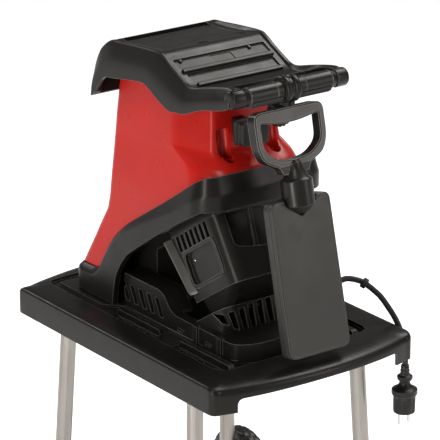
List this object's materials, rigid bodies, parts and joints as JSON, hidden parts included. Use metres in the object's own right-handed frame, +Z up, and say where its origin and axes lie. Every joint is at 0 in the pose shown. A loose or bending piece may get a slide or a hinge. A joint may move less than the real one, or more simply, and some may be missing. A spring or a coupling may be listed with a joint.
{
  "type": "wood chipper",
  "caption": "Electric garden wood chipper: tilting hopper over an inclined motor and knife disc, on a legged table stand with transport wheels, a push tamper and a short mains lead.",
  "frame": {"origin": "on the ground, below the middle of the table", "axes": "+X to the right seen from the tamper side, -Y to the front where the tamper hangs, +Z up"},
  "size_m": [0.4516, 0.576, 0.8963],
  "materials": {
    "black_plastic": "black moulded plastic with a fine spark-eroded grain",
    "dark_plastic": "dull black moulded plastic",
    "red_plastic": "red moulded plastic, satin",
    "grey_plastic": "dark grey moulded plastic, satin",
    "tube_steel": "silver-grey lacquered steel tube",
    "steel": "bare machined steel",
    "copper": "enamelled copper winding",
    "rubber": "black rubber",
    "green_plastic": "green push button"
  },
  "bodies": {
    "stand": {"base_table": "black_plastic", "leg_front_left": "tube_steel", "leg_front_right": "tube_steel", "leg_rear_left": "tube_steel", "leg_rear_right": "tube_steel", "foot_left": "rubber", "foot_right": "rubber", "axle": "steel", "base_frame": "black_plastic", "fan_cowl": "dark_plastic", "hinge_pin": "steel", "motor_housing": "black_plastic", "cutter_deck": "steel", "motor_stator": "steel", "stator_winding": "copper", "motor_bracket": "steel", "bearing_upper": "steel", "bearing_lower": "steel", "discharge_chute": "dark_plastic", "cable_gland": "rubber", "power_cable": "rubber", "cable_ring": "rubber", "plug": "rubber", "plug_pin_left": "steel", "plug_pin_right": "steel"},
    "hopper_unit": {"hopper": "red_plastic", "arch_band": "black_plastic", "feed_chute": "dark_plastic", "chamber_cover": "steel", "hood": "black_plastic", "handle_bar": "black_plastic", "grip_left": "rubber", "grip_right": "rubber", "handle_collar": "black_plastic", "switch_box": "dark_plastic", "hopper_screw_left": "steel", "hopper_screw_right": "steel", "flap_pin": "steel"},
    "flap": {"feed_flap": "black_plastic"},
    "knob": {"holder_knob": "dark_plastic"},
    "tamper": {"tamper_paddle": "black_plastic", "tamper_handle": "grey_plastic", "tamper_screw": "steel"},
    "cover": {"switch_cover": "dark_plastic"},
    "on_key": {"button_on": "green_plastic"},
    "off_key": {"button_off": "red_plastic"},
    "reset_key": {"reset_button": "red_plastic"},
    "cutter": {"rotor": "steel", "cutting_disc": "steel", "disc_bolt": "steel", "blade_a": "steel", "blade_b": "steel", "blade_screw_a1": "steel", "blade_screw_a2": "steel", "blade_screw_b1": "steel", "blade_screw_b2": "steel"},
    "left_wheel": {"wheel_left": "dark_plastic", "hub_cap_left": "grey_plastic"},
    "right_wheel": {"wheel_right": "dark_plastic", "hub_cap_right": "grey_plastic"}
  },
  "joints": [
    {"name": "hopper_tilt", "type": "hinge", "parent": "stand", "child": "hopper_unit", "pos_m": [0, 0.214, 0.482], "axis": [-1, 0, 0], "range_deg": [0, 50]},
    {"name": "flap_open", "type": "hinge", "parent": "hopper_unit", "child": "flap", "pos_m": [0, 0.10691, 0.87866], "axis": [-1, 0, 0], "range_deg": [0, 95]},
    {"name": "knob_turn", "type": "hinge", "parent": "hopper_unit", "child": "knob", "pos_m": [0.012, -0.154, 0.823], "axis": [0, 1, 0], "continuous": true},
    {"name": "tamper_lift_off", "type": "slide", "parent": "hopper_unit", "child": "tamper", "axis": [0, -0.995, 0.0998], "range_m": [0, 0.12]},
    {"name": "switch_cover_flip", "type": "hinge", "parent": "hopper_unit", "child": "cover", "pos_m": [-0.014, -0.1203, 0.8083], "axis": [-1, 0, 0], "range_deg": [0, 45]},
    {"name": "on_button_press", "type": "slide", "parent": "hopper_unit", "child": "on_key", "axis": [0, 1, 0], "range_m": [0, 0.003], "stiffness_N_per_m": 600, "springref_m": -0.001},
    {"name": "off_button_press", "type": "slide", "parent": "hopper_unit", "child": "off_key", "axis": [0, 1, 0], "range_m": [0, 0.003], "stiffness_N_per_m": 600, "springref_m": -0.001},
    {"name": "reset_button_press", "type": "slide", "parent": "stand", "child": "reset_key", "axis": [-1, 0, 0], "range_m": [0, 0.002], "stiffness_N_per_m": 600, "springref_m": -0.001},
    {"name": "cutter_spin", "type": "hinge", "parent": "stand", "child": "cutter", "pos_m": [0, -0.0485, 0.652], "axis": [0, 0.5446, 0.8387], "continuous": true},
    {"name": "left_wheel_spin", "type": "hinge", "parent": "stand", "child": "left_wheel", "pos_m": [-0.199, 0.183, 0.075], "axis": [1, 0, 0], "continuous": true},
    {"name": "right_wheel_spin", "type": "hinge", "parent": "stand", "child": "right_wheel", "pos_m": [0.199, 0.183, 0.075], "axis": [1, 0, 0], "continuous": true}
  ]
}
